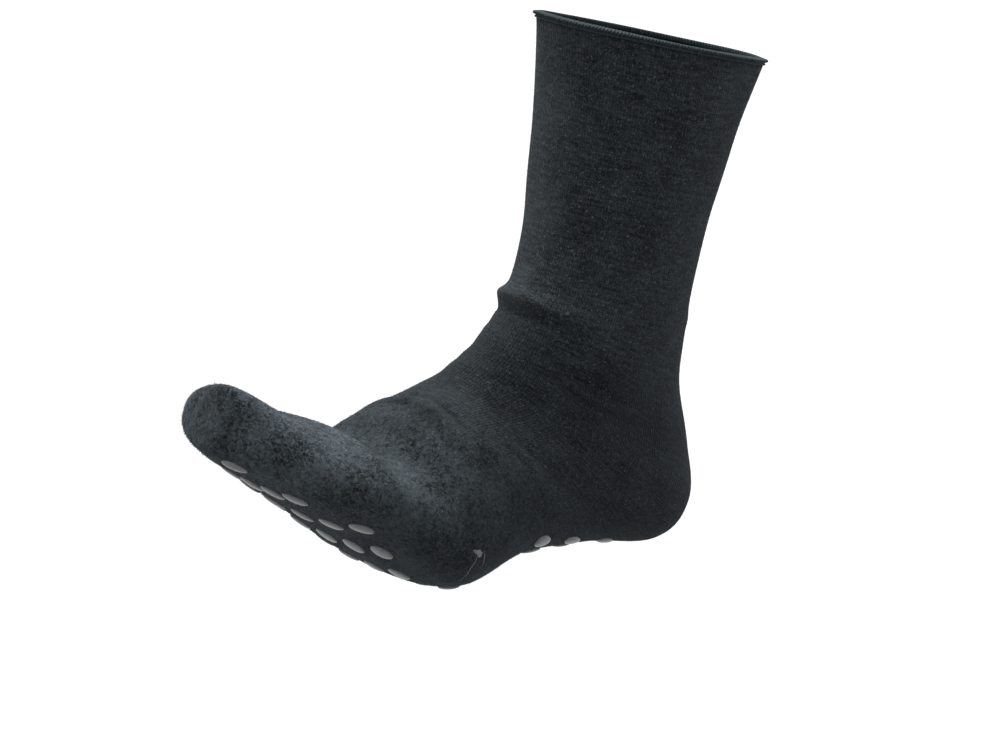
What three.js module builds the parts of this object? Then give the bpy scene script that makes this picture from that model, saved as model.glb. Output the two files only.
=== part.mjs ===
// A crew sock for a left foot, worn: a knitted tube with a turned cuff edge and silicone grip dots.
// Millimetres, +Z up. The toes point along -Y and the little-toe side along +X. The sole stands level
// from heel to ball, and the toes bend up. The origin is the centre of the cuff's opening.

import * as THREE from "three";

// ---- Driving dimensions ----

const WALL = 2.0; // thickness of the knit
const SEAM_GAP = 0.3; // clear space between two pieces
const CUFF_CENTRE = { ahead: 27.5, up: 198.5 }; // middle of the cuff's opening
const AROUND = 28; // facets round the tube

// The tube is measured "ahead" of the back of the heel and "up" from the line that the sole stands on.
// Each place gives the front (or top) point of the tube, its back (or bottom) point, and its half
// widths on the little-toe side and on the big-toe side. "square" flattens the underside (2 is an
// ellipse), "sweep" carries the little-toe side back, and "shift" moves the place to the big-toe side.
const PLACES = [
  { name: "cuff", front: [75, 210], back: [-20, 187], little: 37, big: 39, square: 2.0, sweep: 0, shift: 0 },
  { name: "calf", front: [74, 176], back: [-6, 157], little: 35, big: 38, square: 2.0, sweep: 0, shift: 0 },
  { name: "shin", front: [77, 143], back: [5, 124], little: 32, big: 35, square: 2.0, sweep: 0, shift: 0 },
  { name: "ankle", front: [81.5, 115.5], back: [12, 93], little: 30, big: 33, square: 2.0, sweep: 0, shift: 0 },
  { name: "tendon", front: [91.5, 98.5], back: [14, 61], little: 28, big: 31, square: 2.1, sweep: 0, shift: 0 },
  { name: "heel back", front: [101.5, 88.5], back: [9, 33], little: 29, big: 31, square: 2.2, sweep: 0, shift: 0 },
  { name: "heel turn", front: [110, 83.2], back: [8.4, 9], little: 31, big: 31, square: 2.4, sweep: 0, shift: 0 },
  { name: "heel base", front: [115.5, 79.8], back: [26, -3], little: 31, big: 31, square: 2.6, sweep: 0, shift: 0 },
  { name: "arch", front: [124, 75], back: [62, 3], little: 34, big: 34, square: 2.6, sweep: 0, shift: 0 },
  { name: "instep", front: [136, 70.4], back: [100, 5], little: 39, big: 39, square: 2.6, sweep: -0.1, shift: 0 },
  { name: "ball", front: [147.5, 65], back: [135, -1], little: 43, big: 43, square: 2.6, sweep: -0.1, shift: 0 },
  { name: "toe bend", front: [156, 57.5], back: [158, 10], little: 44, big: 44, square: 2.4, sweep: -0.15, shift: 0 },
  { name: "toe roots", front: [166, 58.6], back: [174, 24], little: 43, big: 43, square: 2.2, sweep: -0.25, shift: 0 },
  { name: "toes", front: [180, 67], back: [191, 37], little: 41, big: 41, square: 2.2, sweep: -0.3, shift: -3 },
  { name: "toe ends", front: [195, 73], back: [205, 48], little: 35, big: 35, square: 2.2, sweep: -0.3, shift: -6 },
  { name: "tip", front: [207, 82], back: [216.5, 56], little: 24, big: 25, square: 2.2, sweep: -0.2, shift: -11 },
  { name: "toe seam", front: [212.5, 84], back: [221.5, 61], little: 9, big: 11, square: 2.1, sweep: -0.1, shift: -13 },
];

// How finely each stretch between two places is cut: the folds and the heel turn take more rings.
const RINGS_PER_STRETCH = [3, 3, 3, 7, 3, 3, 3, 4, 4, 6, 4, 3, 3, 3, 2, 2];
const TIP_DOME = 1.5; // how far the closed toe stands ahead of the last ring

// The two folds that cross the front. "at" counts places from the cuff, "climb" moves the fold along
// the tube for each radian round it, and the fold dies away "reach" radians from the front.
const FOLDS = [
  { name: "ankle roll", at: 3.72, height: 4.0, breadth: 0.18, climb: 0, reach: 1.25 },
  { name: "instep ridge", at: 9.12, height: 1.5, breadth: 0.24, climb: 0.55, reach: 1.15 },
];

// The turned edge at the cuff: the body stops below it, and it stands a little proud of the knit.
const EDGE_TALL = 4.0;
const EDGE_PROUD = 0.9;
const EDGE_THICK = 3.2;
const CALF_STRETCH = 33.5; // length of the tube's first stretch, cuff to calf

// Grip dots: staggered rows across the sole. "along" runs from the base of the heel towards the toes
// and "across" is measured from the sole's middle line, positive to the little-toe side.
const DOT_RADIUS = 4.3;
const DOT_TALL = 1.0;
const DOT_SIDES = 12;
const ROW_STEP = 20.4;
const ROW_START = 9;
const DOT_PITCH = 14;
const ODD_ROW_OFFSET = 6.4;
const EVEN_ROW_OFFSET = 13.4;
// The last number of a row says how close its dots draw together where the toe is stretched less.
const ROWS = [
  { low: -16, high: 8, drawnIn: 1 },
  { low: -24, high: 24, drawnIn: 1 },
  { low: -30, high: 30, drawnIn: 1 },
  { low: -38, high: 38, drawnIn: 1 },
  { low: -30, high: 20, drawnIn: 1 },
  { low: -38, high: 24, drawnIn: 1 },
  { low: -44, high: 20, drawnIn: 1 },
  { low: -38, high: 24, drawnIn: 1 },
  { low: -44, high: 30, drawnIn: 1 },
  { low: -38, high: 24, drawnIn: 0.75 },
  { low: 8, high: 16, drawnIn: 0.6 },
];

// ---- The worn tube, as a surface ----

const NUMBERS = PLACES.map((place) => [
  ...place.front,
  ...place.back,
  place.little,
  place.big,
  place.square,
  place.sweep,
  place.shift,
]);

// Smooth values between the places (Catmull-Rom), at a position counted in places from the cuff.
function valuesAt(position) {
  const last = NUMBERS.length - 1;
  const start = Math.min(Math.max(Math.floor(position), 0), last - 1);
  const t = position - start;
  const row = (index) => NUMBERS[Math.min(Math.max(index, 0), last)];
  const [before, from, to, after] = [row(start - 1), row(start), row(start + 1), row(start + 2)];
  return from.map((value, i) => {
    const slope = to[i] - before[i];
    const bend = 2 * before[i] - 5 * value + 4 * to[i] - after[i];
    const twist = 3 * value - before[i] - 3 * to[i] + after[i];
    return 0.5 * (2 * value + slope * t + bend * t * t + twist * t * t * t);
  });
}

const signedPower = (value, power) => Math.sign(value) * Math.abs(value) ** power;

// The smooth skin at a position along the tube and an angle round it: 0 is the front (the top of the
// foot), a quarter turn is the little-toe side, and half a turn is the back (the sole).
function smoothSkin(position, angle) {
  const [frontAhead, frontUp, backAhead, backUp, little, big, square, sweep, shift] = valuesAt(position);
  const roundness = Math.cos(angle) > 0 ? 2.1 : square;
  const c = signedPower(Math.cos(angle), 2 / roundness);
  const s = signedPower(Math.sin(angle), 2 / roundness);
  const chord = new THREE.Vector2(frontAhead - backAhead, frontUp - backUp).multiplyScalar(0.5);
  const toeward = new THREE.Vector2(chord.y, -chord.x).normalize();
  const side = (s > 0 ? little : big) * s;
  const ahead = (frontAhead + backAhead) / 2 + chord.x * c + toeward.x * sweep * side;
  const up = (frontUp + backUp) / 2 + chord.y * c + toeward.y * sweep * side;
  return new THREE.Vector3(side + shift, CUFF_CENTRE.ahead - ahead, up - CUFF_CENTRE.up);
}

const STEP_ALONG = 0.02;
const STEP_ROUND = 0.03;
const LAST_PLACE = PLACES.length - 1;

// Outward normal of any skin function, from small steps along it and round it.
function normalOf(skin, position, angle) {
  const low = Math.max(position - STEP_ALONG, 0);
  const high = Math.min(position + STEP_ALONG, LAST_PLACE);
  const along = skin(high, angle).sub(skin(low, angle));
  const round = skin(position, angle + STEP_ROUND).sub(skin(position, angle - STEP_ROUND));
  return along.cross(round).normalize();
}

function foldHeight(position, angle) {
  const turn = Math.atan2(Math.sin(angle), Math.cos(angle));
  return FOLDS.reduce((sum, fold) => {
    const away = (position - fold.at - fold.climb * Math.abs(turn)) / fold.breadth;
    const fade = Math.abs(turn) < fold.reach ? Math.cos((turn / fold.reach) * (Math.PI / 2)) ** 2 : 0;
    return sum + fold.height * Math.exp(-away * away) * fade;
  }, 0);
}

function foldedSkin(position, angle) {
  const normal = normalOf(smoothSkin, position, angle);
  return smoothSkin(position, angle).addScaledVector(normal, foldHeight(position, angle));
}

// A point of the outer skin moved out (or, below zero, in) along the skin's own normal.
function clothPoint(position, angle, out) {
  const normal = normalOf(foldedSkin, position, angle);
  return foldedSkin(position, angle).addScaledVector(normal, out);
}

const ANGLES = Array.from({ length: AROUND }, (_, i) => (i / AROUND) * Math.PI * 2);

// ---- Closed solids from loops of points ----

// Joins equal loops, each to the next, and returns the triangles between them.
function bandsBetween(loops) {
  const triangles = [];
  for (let i = 0; i + 1 < loops.length; i += 1) {
    for (let j = 0; j < loops[i].length; j += 1) {
      const next = (j + 1) % loops[i].length;
      triangles.push([loops[i][j], loops[i][next], loops[i + 1][next]]);
      triangles.push([loops[i][j], loops[i + 1][next], loops[i + 1][j]]);
    }
  }
  return triangles;
}

function fanTo(loop, centre) {
  return loop.map((point, j) => [point, loop[(j + 1) % loop.length], centre]);
}

// One skin over a run of loops, closed by a point at each end.
function closedSkin(loops, startPoint, endPoint) {
  const start = fanTo(loops[0], startPoint).map(([a, b, c]) => [a, c, b]);
  return [...start, ...bandsBetween(loops), ...fanTo(loops.at(-1), endPoint)];
}

// A mesh whose faces point outwards, whichever way its loops were walked.
function solidMesh(name, triangles, material) {
  const volume = triangles.reduce((sum, [a, b, c]) => sum + a.dot(b.clone().cross(c)), 0);
  const outward = volume > 0 ? triangles : triangles.map(([a, b, c]) => [a, c, b]);
  const geometry = new THREE.BufferGeometry().setFromPoints(outward.flat());
  geometry.computeVertexNormals();
  const mesh = new THREE.Mesh(geometry, material);
  mesh.name = name;
  return mesh;
}

// ---- Materials ----

const knitMaterial = () => new THREE.MeshStandardMaterial({ color: 0x2b3134, roughness: 0.95, metalness: 0 });
const edgeMaterial = () => new THREE.MeshStandardMaterial({ color: 0x252c30, roughness: 0.95, metalness: 0 });
const gripMaterial = () => new THREE.MeshStandardMaterial({ color: 0x6d7173, roughness: 0.45, metalness: 0 });

// ---- The knitted body ----

function sockBody() {
  const firstRing = (EDGE_TALL + SEAM_GAP) / CALF_STRETCH;
  const positions = RINGS_PER_STRETCH.flatMap((count, stretch) =>
    Array.from({ length: count }, (_, i) => stretch + i / count),
  );
  positions[0] = firstRing;
  positions.push(LAST_PLACE);
  const skin = (out) => positions.map((position) => ANGLES.map((angle) => clothPoint(position, angle, out)));
  const outer = skin(0);
  const inner = skin(-WALL);
  const middle = (loop) => loop.reduce((sum, point) => sum.add(point), new THREE.Vector3()).divideScalar(AROUND);
  const tipLoop = outer.at(-1);
  const tipCentre = middle(tipLoop);
  const toeward = tipCentre.clone().sub(middle(outer.at(-3))).normalize();
  const outerTip = tipCentre.clone().addScaledVector(toeward, TIP_DOME);
  const innerTip = middle(inner.at(-1)).addScaledVector(toeward, TIP_DOME - WALL);
  const loops = [...outer.reverse(), ...inner];
  return solidMesh("sock_body", closedSkin(loops, outerTip, innerTip), knitMaterial());
}

// ---- The turned edge of the cuff ----

// A rounded section swept round the cuff: each corner is a height below the rim and a distance out.
function cuffEdge() {
  const inside = EDGE_PROUD - EDGE_THICK;
  const middle = EDGE_PROUD - EDGE_THICK / 2;
  const corners = [
    [EDGE_TALL, middle],
    [EDGE_TALL * 0.82, EDGE_PROUD * 0.8],
    [EDGE_TALL * 0.5, EDGE_PROUD],
    [EDGE_TALL * 0.15, EDGE_PROUD * 0.7],
    [0, middle],
    [EDGE_TALL * 0.15, inside + 0.3],
    [EDGE_TALL * 0.5, inside],
    [EDGE_TALL * 0.82, inside + 0.2],
  ];
  const loops = corners.map(([below, out]) =>
    ANGLES.map((angle) => clothPoint(below / CALF_STRETCH, angle, out)),
  );
  return solidMesh("cuff_edge", bandsBetween([...loops, loops[0]]), edgeMaterial());
}

// ---- The grip dots ----

const SOLE = Math.PI;
const HEEL_BASE = PLACES.findIndex((place) => place.name === "heel base");
const WALK = 0.02;

// The position on the tube that lies a distance along the sole's middle line from the heel base.
function positionAlong(distance) {
  let position = HEEL_BASE;
  let walked = 0;
  while (walked < distance && position < LAST_PLACE) {
    walked += foldedSkin(position, SOLE).distanceTo(foldedSkin(position + WALK, SOLE));
    position += WALK;
  }
  return position;
}

// The angle round the tube that lies a distance across the sole from its middle line.
function angleAcross(position, distance) {
  const turn = -Math.sign(distance) * WALK;
  let angle = SOLE;
  let walked = 0;
  while (walked < Math.abs(distance)) {
    walked += foldedSkin(position, angle).distanceTo(foldedSkin(position, angle + turn));
    angle += turn;
  }
  return angle;
}

// A low round button whose every point is a point of the sole, moved out.
function gripDot(name, along, across) {
  const position = positionAlong(along);
  const angle = angleAcross(position, across);
  const stretch = foldedSkin(position + WALK, angle).distanceTo(foldedSkin(position - WALK, angle)) / (2 * WALK);
  const girth = foldedSkin(position, angle + WALK).distanceTo(foldedSkin(position, angle - WALK)) / (2 * WALK);
  const ring = (radius, out) =>
    Array.from({ length: DOT_SIDES }, (_, i) => {
      const turn = (i / DOT_SIDES) * Math.PI * 2;
      const there = position + (Math.cos(turn) * radius) / stretch;
      return clothPoint(there, angle + (Math.sin(turn) * radius) / girth, out);
    });
  const base = ring(DOT_RADIUS, SEAM_GAP);
  const shoulder = ring(DOT_RADIUS * 0.84, SEAM_GAP + DOT_TALL * 0.8);
  const underside = clothPoint(position, angle, SEAM_GAP);
  const crown = clothPoint(position, angle, SEAM_GAP + DOT_TALL);
  return solidMesh(name, closedSkin([base, shoulder], underside, crown), gripMaterial());
}

function gripDots() {
  const dots = [];
  ROWS.forEach(({ low, high, drawnIn }, row) => {
    const offset = row % 2 === 0 ? EVEN_ROW_OFFSET : ODD_ROW_OFFSET;
    const first = Math.ceil((low - offset) / DOT_PITCH);
    const last = Math.floor((high - offset) / DOT_PITCH);
    for (let column = first; column <= last; column += 1) {
      const name = `grip_dot_${String(dots.length + 1).padStart(2, "0")}`;
      const across = drawnIn * (offset + column * DOT_PITCH);
      dots.push(gripDot(name, ROW_START + row * ROW_STEP, across));
    }
  });
  return dots;
}

// ---- The sock ----

const sock = new THREE.Group();
sock.add(sockBody());
sock.add(cuffEdge());
sock.add(...gripDots());

export default sock;
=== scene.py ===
# A worn crew sock: a charcoal heather knit tube, a turned edge at its cuff and silicone grip dots on its
# sole. Metres, +Z up, toes along -Y, little-toe side along +X, origin in the middle of the cuff's opening.
from math import pi, radians

import bmesh
import bpy
import numpy as np
from mathutils import Matrix, Vector


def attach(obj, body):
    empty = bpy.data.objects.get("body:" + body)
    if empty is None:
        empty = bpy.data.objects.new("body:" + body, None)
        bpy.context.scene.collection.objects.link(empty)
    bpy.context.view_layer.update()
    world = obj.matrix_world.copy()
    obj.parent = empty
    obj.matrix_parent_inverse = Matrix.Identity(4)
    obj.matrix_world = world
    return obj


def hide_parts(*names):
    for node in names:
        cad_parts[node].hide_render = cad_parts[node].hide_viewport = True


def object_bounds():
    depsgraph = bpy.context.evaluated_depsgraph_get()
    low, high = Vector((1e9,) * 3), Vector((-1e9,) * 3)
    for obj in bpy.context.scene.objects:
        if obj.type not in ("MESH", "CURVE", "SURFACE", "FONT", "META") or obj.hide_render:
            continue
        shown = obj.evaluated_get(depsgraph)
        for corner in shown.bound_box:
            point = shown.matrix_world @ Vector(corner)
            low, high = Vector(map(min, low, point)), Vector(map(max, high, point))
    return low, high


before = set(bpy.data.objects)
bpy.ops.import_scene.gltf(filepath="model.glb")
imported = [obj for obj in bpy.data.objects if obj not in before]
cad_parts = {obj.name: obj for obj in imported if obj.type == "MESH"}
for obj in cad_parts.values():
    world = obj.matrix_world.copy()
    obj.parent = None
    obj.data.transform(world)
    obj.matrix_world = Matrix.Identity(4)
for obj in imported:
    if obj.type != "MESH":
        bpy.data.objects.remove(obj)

cad_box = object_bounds()
MM = 0.001

# ---- The knitted tube ----
# Leg, heel, foot and closed toe, knitted in the round as one tube from a charcoal heather yarn. It is
# worn, so it has the round of a leg and foot, rolls up a little at the front of the ankle and is
# creased where the toes bend up. The cloth is 2 mm thick, and its inside shows at the cuff.

CLOTH = 2.0 * MM
WALES = 208  # columns of stitches round the tube
COURSE = 0.98 * MM  # height of one round of stitches
CUFF_CENTRE = (27.5, 198.5)  # ahead of the heel and above the standing line
FRONT, LITTLE_TOE_SIDE, SOLE = 0.0, pi / 2, pi

# The tube's places, from the cuff to the toe, in millimetres: the front (or top) point and the back (or
# bottom) point, both ahead of the heel and above the standing line, the half widths to the little toe
# and to the big toe, how square the underside is, how far the little-toe side is swept back, and the
# shift to the big-toe side.
PLACES = np.array([
    [75, 210, -20, 187, 37, 39, 2.0, 0, 0],  # cuff
    [74, 176, -6, 157, 35, 38, 2.0, 0, 0],  # calf
    [77, 143, 5, 124, 32, 35, 2.0, 0, 0],  # shin
    [81.5, 115.5, 12, 93, 30, 33, 2.0, 0, 0],  # ankle
    [91.5, 98.5, 14, 61, 28, 31, 2.1, 0, 0],  # tendon
    [101.5, 88.5, 9, 33, 29, 31, 2.2, 0, 0],  # back of the heel
    [110, 83.2, 8.4, 9, 31, 31, 2.4, 0, 0],  # turn of the heel
    [115.5, 79.8, 26, -3, 31, 31, 2.6, 0, 0],  # base of the heel
    [124, 75, 62, 3, 34, 34, 2.6, 0, 0],  # arch
    [136, 70.4, 100, 5, 39, 39, 2.6, -0.1, 0],  # instep
    [147.5, 65, 135, -1, 43, 43, 2.6, -0.1, 0],  # ball
    [156, 57.5, 158, 10, 44, 44, 2.4, -0.15, 0],  # toe bend
    [166, 58.6, 174, 24, 43, 43, 2.2, -0.25, 0],  # toe roots
    [180, 67, 191, 37, 41, 41, 2.2, -0.3, -3],  # toes
    [195, 73, 205, 48, 35, 35, 2.2, -0.3, -6],  # toe ends
    [207, 82, 216.5, 56, 24, 25, 2.2, -0.2, -11],  # tip
    [212.5, 84, 221.5, 61, 9, 11, 2.1, -0.1, -13],  # toe seam
])
LAST = len(PLACES) - 1
HEEL_BASE = 7
TOE_FROM = (12, 13, 14, 15, 16, 17)  # places of the toe, and the share of the wales that each one keeps
TOE_KEPT = (1.0, 0.93, 0.8, 0.58, 0.28, 0.0)
CUSHION_FROM = (7.6, 10.4)  # places where the plain knit gives way to the looped, softer knit of the foot
TIP_DOME = 1.5  # how far the closed toe stands ahead of the last place

# The creases. "at" counts places from the cuff and "turn" is degrees round from the front, for the
# crease's middle. It moves "climb" places along for each radian round from there, is "tall" mm high
# (or deep, below zero) and "wide" places across, and dies away "reach" degrees from its middle.
CREASES = [
    dict(at=3.72, turn=0, climb=0, tall=4.0, wide=0.18, reach=72),  # roll at the front of the ankle
    dict(at=4.02, turn=0, climb=0.1, tall=-1.2, wide=0.1, reach=60),  # the nick under the roll
    dict(at=9.12, turn=0, climb=0.55, tall=1.5, wide=0.2, reach=66),  # ridge over the instep
    dict(at=8.84, turn=6, climb=0.5, tall=-0.9, wide=0.1, reach=58),  # and the crease beside it
    dict(at=13.1, turn=36, climb=-0.22, tall=1.8, wide=0.22, reach=78),  # edge of the bent-up toes
    dict(at=12.3, turn=32, climb=-0.2, tall=-1.3, wide=0.42, reach=70),  # hollow behind them
    dict(at=13.1, turn=-40, climb=-0.2, tall=0.8, wide=0.34, reach=60),
    dict(at=6.0, turn=95, climb=0, tall=-1.6, wide=0.9, reach=48),  # hollows beside the heel
    dict(at=6.0, turn=-95, climb=0, tall=-1.6, wide=0.9, reach=48),
    dict(at=4.75, turn=52, climb=-0.5, tall=0.7, wide=0.12, reach=40),  # soft folds round the ankle
    dict(at=5.35, turn=66, climb=-0.55, tall=0.6, wide=0.13, reach=46),
    dict(at=4.9, turn=-55, climb=-0.5, tall=0.7, wide=0.12, reach=42),
    dict(at=5.5, turn=-64, climb=-0.5, tall=0.6, wide=0.13, reach=44),
    dict(at=3.1, turn=170, climb=0.25, tall=0.6, wide=0.1, reach=60),  # behind the leg
    dict(at=3.45, turn=186, climb=0.2, tall=0.5, wide=0.1, reach=50),
    dict(at=8.3, turn=72, climb=0.6, tall=0.6, wide=0.16, reach=30),  # over the arch
    dict(at=8.6, turn=-76, climb=0.6, tall=0.7, wide=0.16, reach=34),
    dict(at=10.5, turn=86, climb=0.3, tall=-0.7, wide=0.22, reach=34),  # sides of the ball
    dict(at=10.6, turn=-88, climb=0.3, tall=-0.7, wide=0.22, reach=34),
    dict(at=11.6, turn=-50, climb=0.4, tall=-0.8, wide=0.2, reach=40),
    dict(at=12.2, turn=172, climb=0.2, tall=-0.5, wide=0.2, reach=60),  # under the toe bend
]
UNEVEN = 0.22  # how far the worn cloth wavers, in mm


def values_at(position):
    """The numbers of a place, run smoothly from one place to the next."""
    start = np.clip(np.floor(position), 0, LAST - 1).astype(int)
    t = (np.clip(position, 0, LAST) - start)[..., None]
    before, here, ahead, beyond = (PLACES[np.clip(start + step, 0, LAST)] for step in (-1, 0, 1, 2))
    bend = 2 * before - 5 * here + 4 * ahead - beyond
    twist = 3 * here - before - 3 * ahead + beyond
    return np.moveaxis(0.5 * (2 * here + (ahead - before) * t + bend * t**2 + twist * t**3), -1, 0)


def signed_power(value, power):
    return np.sign(value) * np.abs(value) ** power


def smooth_skin(position, turn):
    """The worn tube without its creases. Past the last place it closes in a low dome."""
    front_ahead, front_up, back_ahead, back_up, little, big, square, sweep, shift = values_at(position)
    closing = np.clip(position - LAST, 0, 1)
    shrink = np.sqrt(1 - closing**2)
    roundness = np.where(np.cos(turn) > 0, 2.1, square)
    c = signed_power(np.cos(turn), 2 / roundness) * shrink
    s = signed_power(np.sin(turn), 2 / roundness) * shrink
    chord_ahead, chord_up = (front_ahead - back_ahead) / 2, (front_up - back_up) / 2
    chord = np.hypot(chord_ahead, chord_up)
    side = np.where(s > 0, little, big) * s
    toeward = sweep * side + TIP_DOME * closing
    ahead = (front_ahead + back_ahead) / 2 + chord_ahead * c + chord_up / chord * toeward
    up = (front_up + back_up) / 2 + chord_up * c - chord_ahead / chord * toeward
    return np.stack([side + shift, CUFF_CENTRE[0] - ahead, up - CUFF_CENTRE[1]], -1) * MM


def outward(skin, position, turn):
    position = np.clip(position, 0, LAST + 0.95)
    along = skin(position + 0.02, turn) - skin(np.maximum(position - 0.02, 0), turn)
    across = skin(position, turn + 0.03) - skin(position, turn - 0.03)
    normal = np.cross(along, across)
    return normal / np.linalg.norm(normal, axis=-1, keepdims=True)


def crease_height(position, turn):
    height = np.zeros(np.broadcast(position, turn).shape)
    for crease in CREASES:
        away = np.angle(np.exp(1j * (turn - radians(crease["turn"]))))
        fade = np.cos(np.clip(away / radians(crease["reach"]), -1, 1) * pi / 2) ** 2
        crest = (position - crease["at"] - crease["climb"] * np.abs(away)) / crease["wide"]
        height += crease["tall"] * MM * np.exp(-(crest**2)) * fade
    waver = np.sin(2.3 * position + 3 * turn) + np.sin(3.7 * position - 2 * turn + 1)
    waver = waver + np.sin(5.9 * position + 5 * turn)
    at_the_tip = np.clip((LAST + 0.2 - position) / 1.2, 0, 1)
    return (height + UNEVEN * MM * waver / 2) * at_the_tip


def creased_skin(position, turn):
    rise = crease_height(position, turn)[..., None]
    return smooth_skin(position, turn) + outward(smooth_skin, position, turn) * rise


def cloth_point(position, turn, out=0.0):
    """Points of the knit's outer face, moved out from it."""
    position, turn, out = np.broadcast_arrays(position, turn, out)
    return creased_skin(position, turn) + outward(creased_skin, position, turn) * out[..., None]


def length_along(position, turn):
    """How far along the tube each position is, by one line of it."""
    steps = np.linalg.norm(np.diff(smooth_skin(position, np.full_like(position, turn)), axis=0), axis=1)
    return np.concatenate([[0], np.cumsum(steps)])


def turns_round(position, shares):
    """Turns that share the way round the cloth at a position, so that its wales are all one width."""
    fine = np.linspace(0, 2 * pi, 721)
    ring = smooth_skin(np.full_like(fine, min(position, LAST)), fine)
    run = np.concatenate([[0], np.cumsum(np.linalg.norm(np.diff(ring, axis=0), axis=1))])
    return np.interp(shares * run[-1], run, fine)


class Shade:
    """A socket in a material. Sums of shades add Math nodes, and node() adds any other node."""

    def __init__(self, tree, socket=None):
        self.tree, self.socket = tree, socket

    def node(self, kind, settings, sockets, output=0):
        made = self.tree.nodes.new("ShaderNode" + kind)
        for name, value in settings.items():
            setattr(made, name, value)
        for name, value in sockets.items():
            if isinstance(value, Shade):
                self.tree.links.new(value.socket, made.inputs[name])
            else:
                made.inputs[name].default_value = value
        return Shade(self.tree, made.outputs[output] if made.outputs else None)

    def math(self, operation, *values):
        return self.node("Math", {"operation": operation}, dict(enumerate(values)))

    def __add__(self, other):
        return self.math("ADD", self, other)

    def __sub__(self, other):
        return self.math("SUBTRACT", self, other)

    def __rsub__(self, other):
        return self.math("SUBTRACT", other, self)

    def __mul__(self, other):
        return self.math("MULTIPLY", self, other)

    def __pow__(self, other):
        return self.math("POWER", self, other)

    __radd__ = __add__
    __rmul__ = __mul__

    def spread(self, low, high):
        """0 where this is at low, 1 where it is at high, and straight between."""
        return self.node("MapRange", {}, {"Value": self, "From Min": low, "From Max": high})

    def blend(self, low, high, way="MIX"):
        """From the colour low to the colour high as this goes from 0 to 1."""
        settings = {"data_type": "RGBA", "blend_type": way}
        return self.node("Mix", settings, {0: self, 6: low, 7: high}, 2)

    def noise(self, scale, detail=2.0, x=1.0, y=1.0, z=0.0, **more):
        """Noise over these two-way coordinates, stretched by x and y."""
        place = self.node("Mapping", {}, {"Vector": self, "Scale": (x, y, 1.0), "Location": (0.0, 0.0, z)})
        return self.node("TexNoise", {}, {"Vector": place, "Scale": scale, "Detail": detail, **more})


def new_material(name):
    material = bpy.data.materials.new(name)
    material.use_nodes = True
    material.node_tree.nodes.clear()
    return material, Shade(material.node_tree)


def close_material(shade, **sockets):
    surface = shade.node("BsdfPrincipled", {}, {name.replace("_", " "): v for name, v in sockets.items()})
    shade.node("OutputMaterial", {}, {"Surface": surface})


LOOPED_PALER = 1.9
# Stretched cloth is paler: how much, at places along the tube. The same factors also paint light and
# shade:
# darker round the ankle and heel, where the cloth lies in shade, and paler over the toes, whose top faces
# the light.
TONE_AND_PAINTED_LIGHT_BY_PLACE = (
    (0, 3.6, 4.4, 5.2, 6.5, 8, 9.2, 11.5, 12.3, 13, 14.5, 15.3, 16),
    (1.36, 1.36, 0.9, 0.64, 0.82, 0.8, 0.7, 0.78, 0.92, 1.15, 1.5, 1.2, 0.85),
)


def knit_material(name, deep, pale, fleck):
    """Fine plain knit in heather yarn, brushed soft. Its UV map counts wales round and courses along."""
    material, shade = new_material(name)
    cloth = shade.node("UVMap", {"uv_map": "stitches"}, {})
    wale = shade.node("SeparateXYZ", {}, {"Vector": cloth}, 0)
    course = shade.node("SeparateXYZ", {}, {"Vector": cloth}, 1)
    cushion = shade.node("Attribute", {"attribute_name": "cushion"}, {}, 2)
    stretch = shade.node("Attribute", {"attribute_name": "stretch"}, {}, 2)
    solid = shade.node("TexCoord", {}, {}, 3)
    # each stitch is a V: two legs that lean together, one nested in the next
    across = shade.math("ABSOLUTE", shade.math("FRACT", wale) - 0.5)
    leg = shade.math("SINE", across * (2 * pi)) ** 2
    body = shade.math("COSINE", across * pi) ** 2
    loop = shade.math("COSINE", (course - across * 1.1) * (2 * pi)) * 0.5 + 0.5
    plain = 1 - cushion
    stitch = (leg * 0.55 + body * 0.45) * (loop * 0.35 + 0.65)
    # the yarn's dye changes along its length, so the heather runs round the tube in short streaks
    streak = cloth.noise(1.0, 3.0, x=0.12, y=0.7)
    fibre = cloth.noise(1.0, 3.0, x=0.75, y=0.6, z=7.0)
    cloud = solid.noise(55.0, 2.0)
    hair = solid.noise(1250.0, 3.0, Distortion=1.5)
    # the foot's knit is looped and brushed, so it is paler and curly, and hides its stitches
    curl = solid.noise(560.0, 4.0, Distortion=1.2)
    heather = (streak * 0.42 + fibre * 0.33 + cloud * 0.25).spread(0.4, 0.63)
    colour = heather.blend(deep, pale)
    # painted shade: the gaps between the stitches' legs are darkened in the colour
    colour = ((1 - stitch.spread(0.1, 0.7)) * plain * 0.5).blend(colour, (0.2, 0.2, 0.22, 1), "MULTIPLY")
    tuft = (curl * 0.65 + cloud * 0.35).spread(0.37, 0.64)
    looped = tuft.blend(deep, tuple(LOOPED_PALER * part for part in pale[:3]) + (1,))
    colour = cushion.blend(colour, looped)
    colour = hair.spread(0.56, 0.8).blend(colour, fleck)
    multiply = {"data_type": "RGBA", "blend_type": "MULTIPLY"}
    # stretch is partly the knit's tone and partly painted light: paler where stretched, painted shade
    # round the ankle and heel, painted light over the toes
    colour = shade.node("Mix", multiply, {0: 1.0, 6: colour, 7: stretch}, 2)
    height = stitch * plain + fibre * plain * 0.5 + hair * 0.5 + cushion * curl * 1.8
    bump = shade.node("Bump", {}, {"Height": height, "Distance": 0.0005, "Strength": 0.8})
    close_material(
        shade,
        Base_Color=colour,
        Roughness=0.95,
        Specular_IOR_Level=0.1,
        Sheen_Weight=0.09,
        Sheen_Roughness=0.4,
        Sheen_Tint=(0.82, 0.93, 1.0, 1.0),
        Normal=bump,
    )
    return material


def new_piece(name, bm, material):
    mesh = bpy.data.meshes.new(name)
    bm.to_mesh(mesh)
    bm.free()
    mesh.shade_smooth()
    mesh.materials.append(material)
    piece = bpy.data.objects.new(name, mesh)
    bpy.context.scene.collection.objects.link(piece)
    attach(piece, "root")
    return piece


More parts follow.
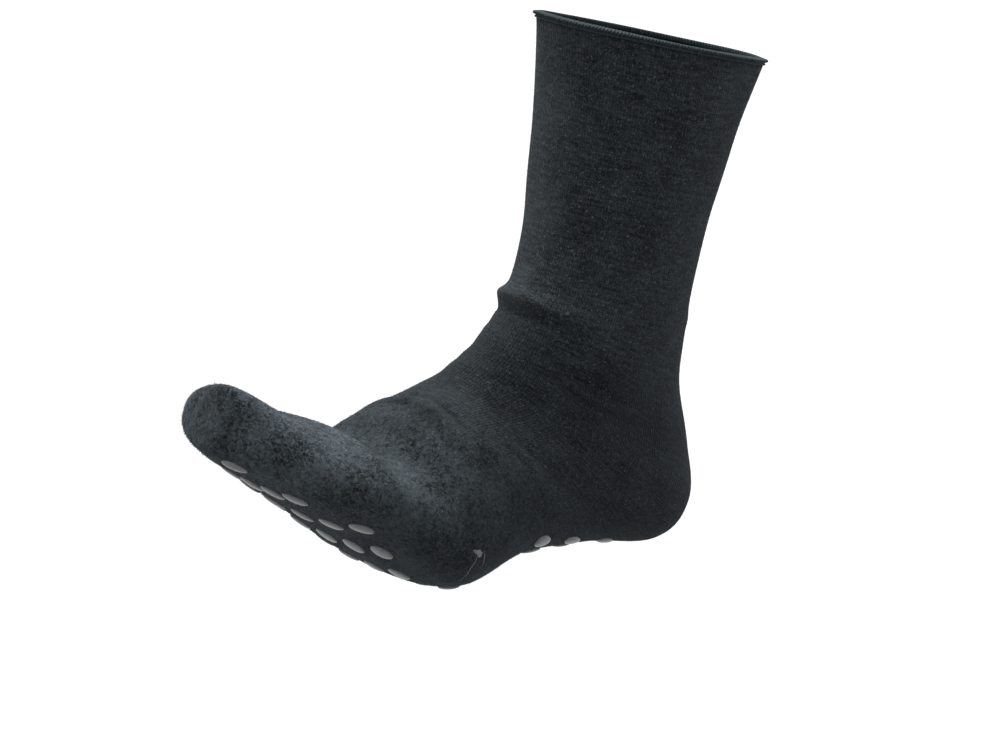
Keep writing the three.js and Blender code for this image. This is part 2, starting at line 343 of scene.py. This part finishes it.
def stitch_map(bm, share, row, place_of_row, stitches_of_row):
    """Counts wales round the tube and courses along it, at each face's corners. From the toe roots on,
    stitches are dropped along both sides, so that the wales of top and sole end there at full width."""
    corners = np.array([[loop.vert.index for loop in face.loops] for face in bm.faces])
    middle = share[corners].mean(1, keepdims=True)
    half = np.rint(2 * middle) / 2  # 0 and 1 are the top's middle line, 0.5 is the sole's
    kept = np.interp(place_of_row[row[corners]], TOE_FROM, TOE_KEPT)
    wales = WALES * (half + (share[corners] - half) * kept)
    courses = stitches_of_row[row[corners]]
    stitches = bm.loops.layers.uv.new("stitches")
    for face, face_wales, face_courses in zip(bm.faces, wales, courses):
        for loop, wale, course in zip(face.loops, face_wales, face_courses):
            loop[stitches].uv = (wale, course)


def wrap_grid(round_steps, rows, place_of_row, out_of_row, stitches_of_row):
    """A flat grid of knit, rolled up: its columns go round the tube and its rows along it."""
    bm = bmesh.new()
    bmesh.ops.create_grid(bm, x_segments=round_steps, y_segments=rows, size=1)
    flat = np.array([vert.co[:2] for vert in bm.verts])
    share = (flat[:, 0] + 1) / 2
    row = np.rint((flat[:, 1] + 1) / 2 * rows).astype(int)
    even = np.linspace(0, 1, round_steps + 1)
    turns = np.array([turns_round(place, even) for place in place_of_row])
    turn = turns[row, np.rint(share * round_steps).astype(int)]
    stitch_map(bm, share, row, place_of_row, stitches_of_row)
    cushion = bm.verts.layers.float.new("cushion")
    stretch = bm.verts.layers.float.new("stretch")
    # stretch carries the tone by place, with painted shade round the ankle and heel and painted light over
    # the toes
    for vert, place in zip(bm.verts, place_of_row[row]):
        vert[cushion] = np.interp(place, CUSHION_FROM, (0, 1))
        vert[stretch] = np.interp(place, *TONE_AND_PAINTED_LIGHT_BY_PLACE)
    points = cloth_point(place_of_row[row], turn, out_of_row[row])
    for vert, point in zip(bm.verts, points):
        vert.co = point
    return bm, row


EDGE_TALL = 4.0 * MM  # height of the turned edge, above which the tube doesn't go
CALF_STRETCH = 33.5 * MM  # length of the tube's first stretch
TUBE_ROUND = 176
LINING_ROWS = 60
FACE_ROWS = 400


def knitted_tube():
    """The inside from the toe up to the cuff, then the outside from the cuff down to the toe."""
    first = (EDGE_TALL + 0.3 * MM) / CALF_STRETCH
    fine = np.linspace(first, LAST + 1, 2000)
    lines = (FRONT, LITTLE_TOE_SIDE, SOLE, -LITTLE_TOE_SIDE)
    run = np.mean([length_along(fine, turn) for turn in lines], 0)
    lining = np.interp(np.linspace(run[-1], 0, LINING_ROWS), run, fine)
    face = np.interp(np.linspace(0, run[-1], FACE_ROWS), run, fine)
    place_of_row = np.concatenate([lining, face])
    out_of_row = np.concatenate([np.full(LINING_ROWS, -CLOTH), np.zeros(FACE_ROWS)])
    stitches_of_row = np.interp(place_of_row, fine, run) / COURSE
    bm, row = wrap_grid(TUBE_ROUND, len(place_of_row) - 1, place_of_row, out_of_row, stitches_of_row)
    for end in (0, row.max()):
        pole = [vert for vert, at in zip(list(bm.verts)[: len(row)], row) if at == end]
        middle = sum((vert.co for vert in pole), Vector()) / len(pole)
        for vert in pole:
            vert.co = middle
    bmesh.ops.remove_doubles(bm, verts=bm.verts, dist=0.001 * MM)
    bmesh.ops.recalc_face_normals(bm, faces=bm.faces)
    return bm


knit = knit_material(
    "charcoal heather knit",
    deep=(0.0055, 0.007, 0.0085, 1),
    pale=(0.034, 0.042, 0.048, 1),
    fleck=(0.12, 0.135, 0.145, 1),
)
sock = new_piece("sock", knitted_tube(), knit)
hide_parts("sock_body")

# ---- The turned edge ----
# At the cuff the last courses are turned over and held by a row of tight loops, with one smooth thread
# laid under them. The edge stands a little proud of the leg, with a dark line of shadow below it.

# The edge's section: down from its top and out from the face of the knit, in millimetres.
EDGE_SECTION = np.array([
    [-0.5, -0.8], [-0.25, 0.3], [0.7, 1.05], [1.8, 1.0], [2.5, 0.5], [2.85, 0.35], [3.2, 0.7], [3.65, 0.8],
    [4.05, 0.45], [4.15, -0.5], [3.6, -1.9], [2.0, -2.3], [0.3, -2.1],
])
LOOP_DEPTH = 0.55  # how far a loop stands out of the roll, in mm
EDGE_ROUND = WALES * 6
EDGE_ROWS = 36


def edge_section(share):
    """A smooth closed line through the section's points."""
    count = len(EDGE_SECTION)
    at = share * count
    start = np.floor(at).astype(int)
    t = (at - start)[:, None]
    before, here, ahead, beyond = (EDGE_SECTION[(start + step) % count] for step in (-1, 0, 1, 2))
    bend = 2 * before - 5 * here + 4 * ahead - beyond
    twist = 3 * here - before - 3 * ahead + beyond
    return 0.5 * (2 * here + (ahead - before) * t + bend * t**2 + twist * t**3)


def turned_edge():
    bm = bmesh.new()
    bmesh.ops.create_grid(bm, x_segments=EDGE_ROUND, y_segments=EDGE_ROWS, size=1)
    flat = (np.array([vert.co[:2] for vert in bm.verts]) + 1) / 2
    turn = turns_round(0, flat[:, 0])
    down, out = edge_section(flat[:, 1]).T
    loop = flat[:, 0] * WALES
    random = np.random.default_rng(4).uniform(0.5, 1.2, WALES + 1)
    pull = random[np.floor(loop).astype(int) % WALES]
    on_roll = np.clip(1.5 - np.abs(down - 0.9), 0, 1) * (out > -1.2)
    bulge = LOOP_DEPTH * on_roll * (pull * np.abs(np.sin(pi * (loop + 0.22 * down))) - 0.45)
    lift = np.clip(1 - down / 1.2, 0, 1)
    down = down - bulge * lift
    out = out + bulge * (1 - 0.5 * lift)
    stitches = bm.loops.layers.uv.new("stitches")
    for face in bm.faces:
        for corner in face.loops:
            index = corner.vert.index
            corner[stitches].uv = (loop[index], down[index])
    for vert, point in zip(bm.verts, cloth_point(down * MM / CALF_STRETCH, turn, out * MM)):
        vert.co = point
    bmesh.ops.remove_doubles(bm, verts=bm.verts, dist=0.001 * MM)
    bmesh.ops.recalc_face_normals(bm, faces=bm.faces)
    return bm


def edge_material():
    """Tight loops of dark yarn with gaps between them, and the smooth thread below them. The loops'
    crowns are painted lighter, a painted highlight, and the gaps darker, a painted shade.
    """
    material, shade = new_material("turned edge knit")
    cloth = shade.node("UVMap", {"uv_map": "stitches"}, {})
    loop = shade.node("SeparateXYZ", {}, {"Vector": cloth}, 0)
    down = shade.node("SeparateXYZ", {}, {"Vector": cloth}, 1)
    solid = shade.node("TexCoord", {}, {}, 3)
    wool = solid.noise(900.0, 3.0, Distortion=1.0)
    uneven = cloth.noise(0.7, 1.0)
    # painted highlight on the loops' crowns and painted shade in the gaps, mixed with the wool's own
    # random tone
    knob = shade.math("ABSOLUTE", shade.math("SINE", (loop + down * 0.22 + uneven * 0.9) * pi))
    wool_and_crown_highlight = (knob * 0.55 + wool * 0.8).spread(0.5, 1.1)
    loops = wool_and_crown_highlight.blend((0.006, 0.009, 0.01, 1), (0.055, 0.073, 0.076, 1))
    thread = wool.spread(0.3, 0.7).blend((0.016, 0.022, 0.028, 1), (0.05, 0.066, 0.08, 1))
    bump = shade.node("Bump", {}, {"Height": wool, "Distance": 0.0003, "Strength": 0.6})
    close_material(
        shade,
        Base_Color=down.spread(2.3, 2.7).blend(loops, thread),
        Roughness=0.9,
        Specular_IOR_Level=0.15,
        Normal=bump,
    )
    return material


edge = new_piece("cuff_turned_edge", turned_edge(), edge_material())
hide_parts("cuff_edge")

# ---- The grip dots ----
# Round drops of grey silicone, printed on the sole in staggered rows from the heel to the toes and
# cured there. Each is a low button with a soft shoulder, a little cloudy and half glossy.

DOT_RADIUS = 4.3
DOT_TALL = 1.1
ROW_STEP = 20.4
ROW_START = 9.0  # ahead of the heel's base
DOT_PITCH = 14.0
EVEN_ROW_OFFSET = 13.4
ODD_ROW_OFFSET = 6.4
# how far each row goes to the big-toe side and to the little-toe side of the sole's middle, and how
# close its dots draw together where the toe of the sock is stretched less
ROWS = [
    (-16, 8, 1.0), (-24, 24, 1.0), (-30, 30, 1.0), (-38, 38, 1.0), (-30, 20, 1.0), (-38, 24, 1.0),
    (-44, 20, 1.0), (-38, 24, 1.0), (-44, 30, 1.0), (-38, 24, 0.75), (8, 16, 0.6),
]


def place_on_sole(along, across):
    """The position and turn at a distance along the sole's middle line and across from it, in mm."""
    fine = np.linspace(HEEL_BASE, LAST, 1500)
    position = np.interp(along * MM, length_along(fine, SOLE), fine)
    turns = np.linspace(SOLE, SOLE - np.sign(across) * pi, 1500)
    ring = smooth_skin(np.full_like(turns, position), turns)
    run = np.concatenate([[0], np.cumsum(np.linalg.norm(np.diff(ring, axis=0), axis=1))])
    return position, np.interp(abs(across) * MM, run, turns)


def on_cloth(position, turn, ahead, aside, out):
    """Points near one place of the cloth: mm ahead along the tube, aside round it and out from it."""
    step = 0.02
    along = smooth_skin(position + step, turn) - smooth_skin(position - step, turn)
    across = smooth_skin(position, turn + step) - smooth_skin(position, turn - step)
    stretch = np.linalg.norm(along) / (2 * step)
    girth = np.linalg.norm(across) / (2 * step)
    return cloth_point(position + ahead * MM / stretch, turn + aside * MM / girth, out * MM)


def dot_button(position, turn):
    bm = bmesh.new()
    bmesh.ops.create_uvsphere(bm, u_segments=28, v_segments=16, radius=1)
    ball = np.array([vert.co for vert in bm.verts])
    height = np.where(ball[:, 2] > 0, DOT_TALL * np.maximum(ball[:, 2], 0) ** 0.75, 0.25 * ball[:, 2])
    for vert, point in zip(bm.verts, on_cloth(position, turn, *(ball[:, :2] * DOT_RADIUS).T, height)):
        vert.co = point
    bmesh.ops.recalc_face_normals(bm, faces=bm.faces)
    return bm


silicone, shade = new_material("grey silicone")
solid = shade.node("TexCoord", {}, {}, 3)
mottle = solid.noise(450.0, 2.0)
bump = shade.node("Bump", {}, {"Height": mottle, "Distance": 0.0002, "Strength": 0.35})
close_material(
    shade,
    Base_Color=mottle.spread(0.3, 0.7).blend((0.1, 0.105, 0.11, 1), (0.15, 0.155, 0.16, 1)),
    Roughness=0.36,
    Normal=bump,
)
dot_count = 0
for row, (low, high, drawn_in) in enumerate(ROWS):
    offset = ODD_ROW_OFFSET if row % 2 else EVEN_ROW_OFFSET
    first, last = int(np.ceil((low - offset) / DOT_PITCH)), int(np.floor((high - offset) / DOT_PITCH))
    for column in range(first, last + 1):
        dot_count += 1
        spot = place_on_sole(ROW_START + row * ROW_STEP, drawn_in * (offset + column * DOT_PITCH))
        dot = new_piece(f"silicone_dot_{dot_count:02d}", dot_button(*spot), silicone)
        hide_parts(f"grip_dot_{dot_count:02d}")

# ---- The silicone smear ----
# A little silicone was dragged on to the side of the sole when the dots were printed. It cured there as
# a thin flake, with two hairs of it drawn out towards the sole.

SMEAR = (10.12, radians(104))  # its place along the tube, and its turn round it


def smear_flake():
    bm = bmesh.new()
    bmesh.ops.create_uvsphere(bm, u_segments=32, v_segments=12, radius=1)
    ball = np.array([vert.co for vert in bm.verts])
    around = np.arctan2(ball[:, 1], ball[:, 0])
    ragged = 1 + 0.22 * np.sin(3 * around + 1) + 0.14 * np.sin(7 * around) + 0.08 * np.sin(11 * around + 2)
    ahead, aside = ball[:, 0] * 2.6 * ragged, ball[:, 1] * 1.25 * ragged
    height = np.where(ball[:, 2] > 0, 0.42, 0.2) * ball[:, 2] + 0.05
    points = on_cloth(*SMEAR, ahead * 0.8 + aside * 0.5, aside * 0.9 - ahead * 0.55, height)
    for vert, point in zip(bm.verts, points):
        vert.co = point
    return bm


def smear_hair(bm, start, end, bow):
    """A hair of silicone from one place of the sole to another, thick at the flake and thin at its end."""
    made = bmesh.ops.create_uvsphere(bm, u_segments=8, v_segments=40, radius=1)["verts"]
    ball = np.array([vert.co for vert in made])
    run = (ball[:, 2] + 1) / 2
    place = start[0] + (end[0] - start[0]) * run + bow * np.sin(pi * run) + 0.004 * np.sin(19 * run)
    turn = start[1] + (end[1] - start[1]) * run + 0.012 * np.sin(13 * run)
    middle = cloth_point(place, turn, 0.2 * MM)
    thick = 0.2 * MM * (1.25 - run)[:, None]
    out = outward(smooth_skin, place, turn)
    along = cloth_point(place + 0.02, turn) - cloth_point(place - 0.02, turn)
    along = along / np.linalg.norm(along, axis=1, keepdims=True)
    points = middle + thick * (out * ball[:, 1:2] + along * ball[:, :1])
    for vert, point in zip(made, points):
        vert.co = point


bm = smear_flake()
smear_hair(bm, SMEAR, (10.26, radians(135)), 0.05)
smear_hair(bm, (9.98, radians(103)), (10.02, radians(120)), -0.03)
bmesh.ops.recalc_face_normals(bm, faces=bm.faces)
new_piece("silicone_smear", bm, silicone)

# ---- The fuzz ----
# Brushed wool stands off the knit all over as short loose fibres, pale against the charcoal. They are
# longest and thickest on the looped knit of the foot.

FIBRE_THICK = 0.055 * MM  # from the middle of a fibre's root to its edge
LEG_FIBRES = 26000
FOOT_FIBRES = 34000


def fuzz(name, count, first, last, longest, seed):
    """Many three-sided spikes as one mesh, spread evenly over a stretch of the tube."""
    fibre = bmesh.new()
    bmesh.ops.create_cone(fibre, cap_ends=True, segments=3, radius1=1, radius2=0, depth=1)
    mesh = bpy.data.meshes.new(name)
    fibre.to_mesh(mesh)
    fibre.free()
    single = bpy.data.objects.new(name + "_one", mesh)
    bpy.context.scene.collection.objects.link(single)
    array = single.modifiers.new("many", "ARRAY")
    array.count, array.use_relative_offset = count, False
    bpy.context.view_layer.update()
    many = bpy.data.meshes.new_from_object(single.evaluated_get(bpy.context.evaluated_depsgraph_get()))
    bpy.data.objects.remove(single)
    corner = np.tile(np.array([vert.co for vert in mesh.vertices]), (count, 1))
    random = np.random.default_rng(seed)
    fine = np.linspace(first, last, 600)
    across = [smooth_skin(fine, np.full_like(fine, turn)) for turn in (LITTLE_TOE_SIDE, -LITTLE_TOE_SIDE)]
    girth = np.linalg.norm(across[0] - across[1], axis=1)
    area = np.cumsum(girth * np.gradient(length_along(fine, LITTLE_TOE_SIDE)))
    place = np.interp(random.uniform(area[0], area[-1], count), area, fine)
    turn = random.uniform(-pi, pi, count)
    root = cloth_point(place, turn, -0.15 * MM)
    lean = outward(smooth_skin, place, turn) * random.uniform(0.35, 1.0, (count, 1))
    lean += random.normal(0, 0.6, (count, 3))
    lean /= np.linalg.norm(lean, axis=1, keepdims=True)
    aside = np.cross(lean, random.normal(0, 1, (count, 3)))
    aside /= np.linalg.norm(aside, axis=1, keepdims=True)
    upright = np.cross(lean, aside)
    long = random.uniform(0.4, 1.0, (count, 1)) ** 1.5 * longest * MM
    each = np.repeat(np.arange(count), len(mesh.vertices))
    points = root[each] + FIBRE_THICK * (aside[each] * corner[:, :1] + upright[each] * corner[:, 1:2])
    points += lean[each] * long[each] * (corner[:, 2:] + 0.5)
    many.vertices.foreach_set("co", points.ravel())
    many.update()
    many.materials.clear()
    many.materials.append(fluff)
    piece = bpy.data.objects.new(name, many)
    bpy.context.scene.collection.objects.link(piece)
    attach(piece, "root")


fluff, shade = new_material("loose wool")
solid = shade.node("TexCoord", {}, {}, 3)
tone = solid.noise(300.0, 1.0).spread(0.4, 0.65)
close_material(
    shade,
    Base_Color=tone.blend((0.015, 0.018, 0.021, 1), (0.14, 0.158, 0.17, 1)),
    Roughness=0.8,
    Specular_IOR_Level=0.2,
)
fuzz("leg_fuzz", LEG_FIBRES, 0.15, 8.5, 1.1, 11)
fuzz("foot_fuzz", FOOT_FIBRES, 8.5, LAST + 0.7, 1.5, 12)

# ---- The studio ----
# The sock is held up as its wearer would hold it, clear of a plain pale floor, in soft light from
# above and from the toe's side.

FLOOR_BELOW = 0.15
SKY, GROUND = 0.75, 0.3  # strength of the daylight from above and from below
bm = bmesh.new()
bmesh.ops.create_grid(bm, x_segments=1, y_segments=1, size=12)
bmesh.ops.translate(bm, verts=bm.verts, vec=(0, 0, cad_box[0][2] - FLOOR_BELOW))
floor_mesh = bpy.data.meshes.new("floor")
bm.to_mesh(floor_mesh)
bm.free()
paper, shade = new_material("pale paper")
close_material(shade, Base_Color=(0.54, 0.54, 0.54, 1), Roughness=1.0, Specular_IOR_Level=0.0)
floor_mesh.materials.append(paper)
floor = bpy.data.objects.new("floor", floor_mesh)
bpy.context.scene.collection.objects.link(floor)
floor.visible_diffuse = False  # no light comes back up from the floor, as in a studio with a dark table

key = bpy.data.lights.new("soft overhead", "SUN")
key.energy, key.angle = 4.6, radians(60)
key_light = bpy.data.objects.new("soft overhead", key)
key_light.rotation_euler = Vector((-0.3, 0.05, 1.0)).to_track_quat("Z", "Y").to_euler()
bpy.context.scene.collection.objects.link(key_light)
world = bpy.data.worlds.new("daylight")
world.use_nodes = True
sky = Shade(world.node_tree)
up = sky.node("SeparateXYZ", {}, {"Vector": sky.node("TexCoord", {}, {})}, 2)
strength = up.spread(-0.5, 0.5) * (SKY - GROUND) + GROUND
world.node_tree.links.new(strength.socket, world.node_tree.nodes["Background"].inputs["Strength"])
world.node_tree.nodes["Background"].inputs["Color"].default_value = (1, 1, 1, 1)
bpy.context.scene.world = world
bpy.context.scene.view_settings.view_transform = "Standard"

AIM = Vector((3.55, -72.25, -123.63)) * MM
DISTANCE = 1.335
camera_data = bpy.data.cameras.new("camera")
camera_data.sensor_width, camera_data.lens = 36, 126.4
camera = bpy.data.objects.new("camera", camera_data)
stand = Matrix.Rotation(radians(52.37), 4, "Z") @ Matrix.Rotation(radians(90 - 16.3), 4, "X")
tilt = Matrix.Rotation(radians(1.58), 4, "Z")
camera.matrix_world = Matrix.Translation(AIM) @ stand @ tilt @ Matrix.Translation((0, 0, DISTANCE))
bpy.context.scene.collection.objects.link(camera)
bpy.context.scene.camera = camera
